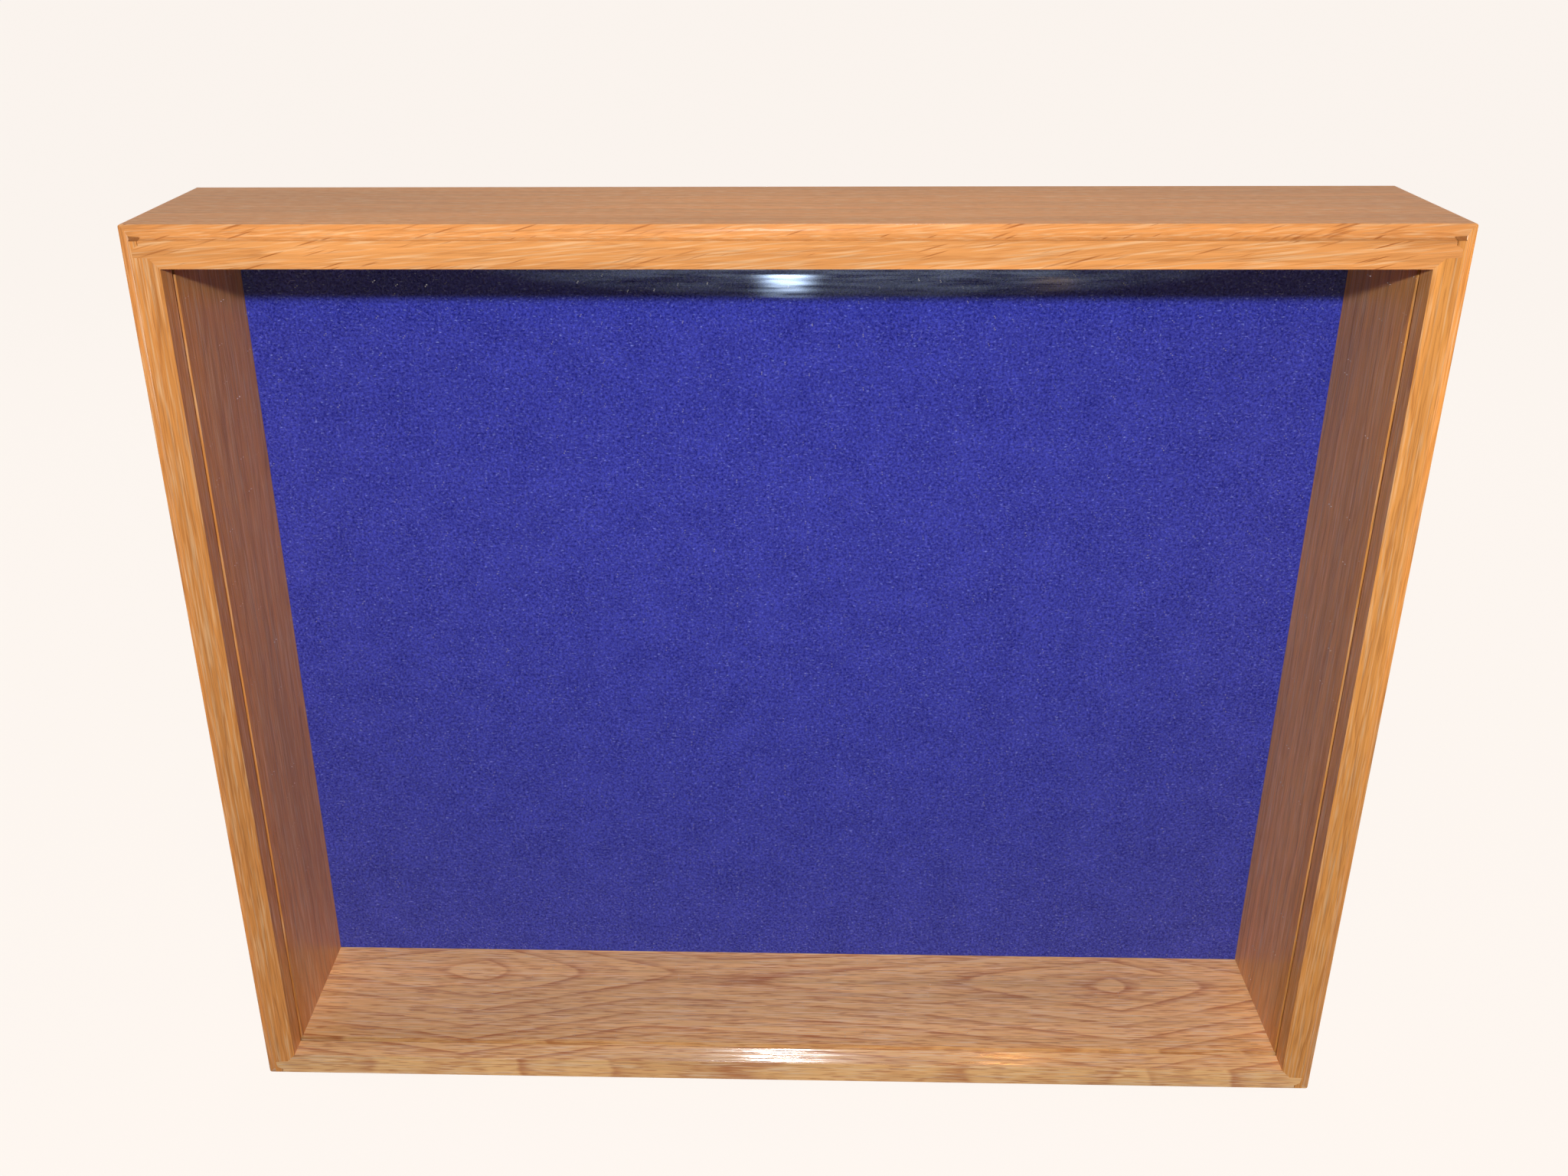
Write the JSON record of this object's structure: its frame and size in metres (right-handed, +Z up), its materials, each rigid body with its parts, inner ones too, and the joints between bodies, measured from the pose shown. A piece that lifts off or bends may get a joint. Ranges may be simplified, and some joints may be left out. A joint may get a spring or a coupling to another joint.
{
  "type": "wall display case",
  "caption": "Oak wall display case with lock-mitred corners, a coved front frame, a clear front sheet and a felt-covered back that lifts out from behind.",
  "frame": {"origin": "middle of the bottom face, with the case upright", "axes": "+X to the right seen from the front, +Y from the clear front to the rear, +Z up"},
  "size_m": [0.6096, 0.1051, 0.5016],
  "materials": {
    "oak": "satin varnish",
    "clear_acrylic": "clear, polished",
    "hardboard": "raw",
    "felt": "matt nap",
    "zinc_steel": "zinc plated",
    "plated_steel": "bright plated"
  },
  "bodies": {
    "case": {"top_board": "oak", "bottom_board": "oak", "left_board": "oak", "right_board": "oak", "front_panel": "clear_acrylic", "button_screws": "plated_steel", "hanger_left": "zinc_steel", "hanger_right": "zinc_steel", "hanger_nails": "plated_steel"},
    "back": {"back_board": "hardboard", "felt_lining": "felt"},
    "button_top_left": {"button_top_left": "zinc_steel"},
    "button_top_right": {"button_top_right": "zinc_steel"},
    "button_bottom_left": {"button_bottom_left": "zinc_steel"},
    "button_bottom_right": {"button_bottom_right": "zinc_steel"},
    "button_left": {"button_left": "zinc_steel"},
    "button_right": {"button_right": "zinc_steel"}
  },
  "joints": [
    {"name": "back_removal", "type": "slide", "parent": "case", "child": "back", "axis": [0, 1, 0], "range_m": [0, 0.15]},
    {"name": "button_top_left_turn", "type": "hinge", "parent": "case", "child": "button_top_left", "pos_m": [-0.12, 0.0515, 0.4953], "axis": [0, 1, 0], "continuous": true},
    {"name": "button_top_right_turn", "type": "hinge", "parent": "case", "child": "button_top_right", "pos_m": [0.12, 0.0515, 0.4953], "axis": [0, -1, 0], "continuous": true},
    {"name": "button_bottom_left_turn", "type": "hinge", "parent": "case", "child": "button_bottom_left", "pos_m": [-0.12, 0.0515, 0.00635], "axis": [0, -1, 0], "continuous": true},
    {"name": "button_bottom_right_turn", "type": "hinge", "parent": "case", "child": "button_bottom_right", "pos_m": [0.12, 0.0515, 0.00635], "axis": [0, 1, 0], "continuous": true},
    {"name": "button_left_turn", "type": "hinge", "parent": "case", "child": "button_left", "pos_m": [-0.29845, 0.0515, 0.25083], "axis": [0, -1, 0], "continuous": true},
    {"name": "button_right_turn", "type": "hinge", "parent": "case", "child": "button_right", "pos_m": [0.29845, 0.0515, 0.25083], "axis": [0, 1, 0], "continuous": true}
  ]
}
